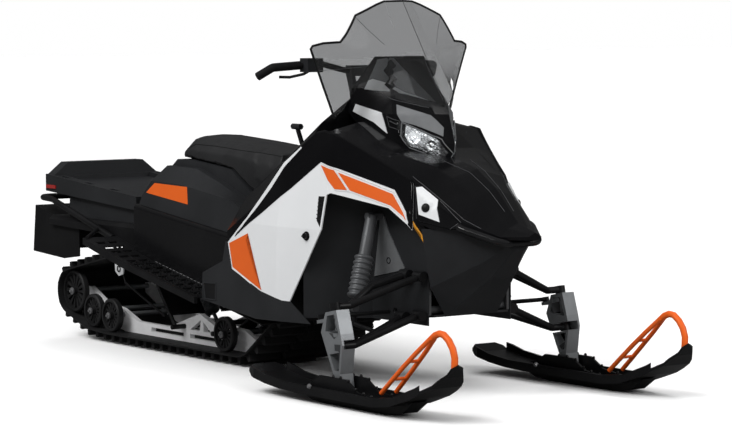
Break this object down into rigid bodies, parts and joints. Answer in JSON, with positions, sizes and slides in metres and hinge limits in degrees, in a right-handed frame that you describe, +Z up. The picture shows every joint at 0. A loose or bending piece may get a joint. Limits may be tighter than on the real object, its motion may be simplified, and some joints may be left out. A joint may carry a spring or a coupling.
{
  "type": "utility snowmobile",
  "caption": "Long-track utility snowmobile with steered skis, cargo deck, tall windshield and ski-tip loops.",
  "frame": {"origin": "on the ground, midway between the snow flap and the ski tips, in the middle plane", "axes": "+X forward, +Y to the rider's left, +Z up"},
  "size_m": [3.348, 1.208, 1.422],
  "materials": {
    "black_paint": "satin black",
    "charcoal": "grained charcoal",
    "red_lens": "clear red",
    "soft_black": "matte black",
    "grey_metal": "satin grey",
    "cast_metal": "as cast",
    "white_panel": "gloss white with black and orange areas",
    "black_gloss": "gloss black",
    "seat_cover": "matte black vinyl",
    "lens": "clear",
    "smoke_screen": "smoke tint",
    "track_rubber": "matte black",
    "wheel_rubber": "matte black",
    "rail_alloy": "bright",
    "alloy": "bead blasted",
    "grip_rubber": "matte black",
    "ski_plastic": "black",
    "orange_plastic": "orange"
  },
  "bodies": {
    "chassis": {"tunnel": "black_paint", "running_boards": "black_paint", "tunnel_covers": "charcoal", "rear_bumper": "black_paint", "board_braces": "black_paint", "cargo_deck": "charcoal", "tail_lamps": "red_lens", "snow_flap": "soft_black", "tow_hitch": "black_paint", "bulkhead": "grey_metal", "engine_block": "cast_metal", "belly_pan": "charcoal", "side_panel_left": "white_panel", "side_panel_right": "white_panel", "footwell_left": "charcoal", "footwell_right": "charcoal", "arch_liners": "charcoal", "console": "black_gloss", "seat_cushion": "seat_cover", "seat_base": "charcoal", "side_fairing_left": "charcoal", "side_fairing_right": "charcoal", "hood": "black_gloss", "nose_plates": "black_gloss", "lamp_pod": "black_gloss", "headlamps": "lens", "windshield": "smoke_screen", "front_bumper": "black_paint", "gear_lever": "charcoal", "track": "track_rubber", "bogie_wheels": "wheel_rubber", "idler_wheels": "wheel_rubber", "drive_axle": "charcoal", "wheel_axles": "grey_metal", "slide_rails": "rail_alloy", "suspension_arms": "black_paint", "track_shocks": "grey_metal", "upper_arms": "black_paint", "lower_arms": "black_paint", "front_shocks": "grey_metal"},
    "handlebar": {"handlebar": "black_paint", "grips": "grip_rubber", "bar_controls": "charcoal", "bar_riser": "alloy", "steering_post": "black_paint"},
    "ski_set_right": {"spindle_right": "alloy", "ski_right": "ski_plastic", "ski_loop_right": "orange_plastic"},
    "ski_set_left": {"spindle_left": "alloy", "ski_left": "ski_plastic", "ski_loop_left": "orange_plastic"},
    "tie_rod_right": {"tie_rod_right": "black_paint"},
    "tie_rod_left": {"tie_rod_left": "black_paint"}
  },
  "joints": [
    {"name": "handlebar_steer", "type": "hinge", "parent": "chassis", "child": "handlebar", "pos_m": [0.36, 0, 1.051], "axis": [-0.1908, 0, 0.9816], "range_deg": [-30, 30]},
    {"name": "ski_right_steer", "type": "hinge", "parent": "chassis", "child": "ski_set_right", "pos_m": [0.99, -0.515, 0.205], "axis": [-0.2079, 0, 0.9781], "range_deg": [-31, 31]},
    {"name": "ski_left_steer", "type": "hinge", "parent": "chassis", "child": "ski_set_left", "pos_m": [0.99, 0.515, 0.205], "axis": [-0.2079, 0, 0.9781], "range_deg": [-31, 31]},
    {"name": "tie_rod_right_slide", "type": "slide", "parent": "chassis", "child": "tie_rod_right", "axis": [0, 1, 0], "range_m": [-0.047, 0.047]},
    {"name": "tie_rod_left_slide", "type": "slide", "parent": "chassis", "child": "tie_rod_left", "axis": [0, 1, 0], "range_m": [-0.047, 0.047]}
  ],
  "couplings": [
    {"joint": "ski_right_steer", "follows": "handlebar_steer", "ratio": 1},
    {"joint": "ski_left_steer", "follows": "handlebar_steer", "ratio": 1},
    {"joint": "tie_rod_right_slide", "follows": "handlebar_steer", "m_per_rad": -0.087854},
    {"joint": "tie_rod_left_slide", "follows": "handlebar_steer", "m_per_rad": -0.087854}
  ]
}
